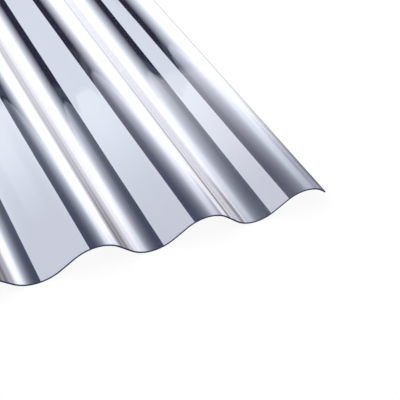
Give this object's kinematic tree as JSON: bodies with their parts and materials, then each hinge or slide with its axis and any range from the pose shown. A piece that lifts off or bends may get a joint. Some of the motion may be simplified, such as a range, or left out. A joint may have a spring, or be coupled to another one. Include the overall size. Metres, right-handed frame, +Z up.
{
  "type": "corrugated pvc sheet",
  "caption": "Clear corrugated plastic roofing sheet with round waves, trimmed square, lying on its troughs.",
  "frame": {"origin": "on the level surface that the troughs touch, under the middle of the sheet", "axes": "+Z up, out of the weather side; +Y along the ridges, the sheet's length; +X across the ridges, towards the edge that ends just past a crest"},
  "size_m": [0.9, 2, 0.018],
  "materials": {
    "clear_pvc": "clear extruded PVC with a slight blue-grey cast, glossy on both faces, with faint lines along the ridges"
  },
  "bodies": {
    "root": {"corrugated_sheet": "clear_pvc"}
  },
  "joints": []
}
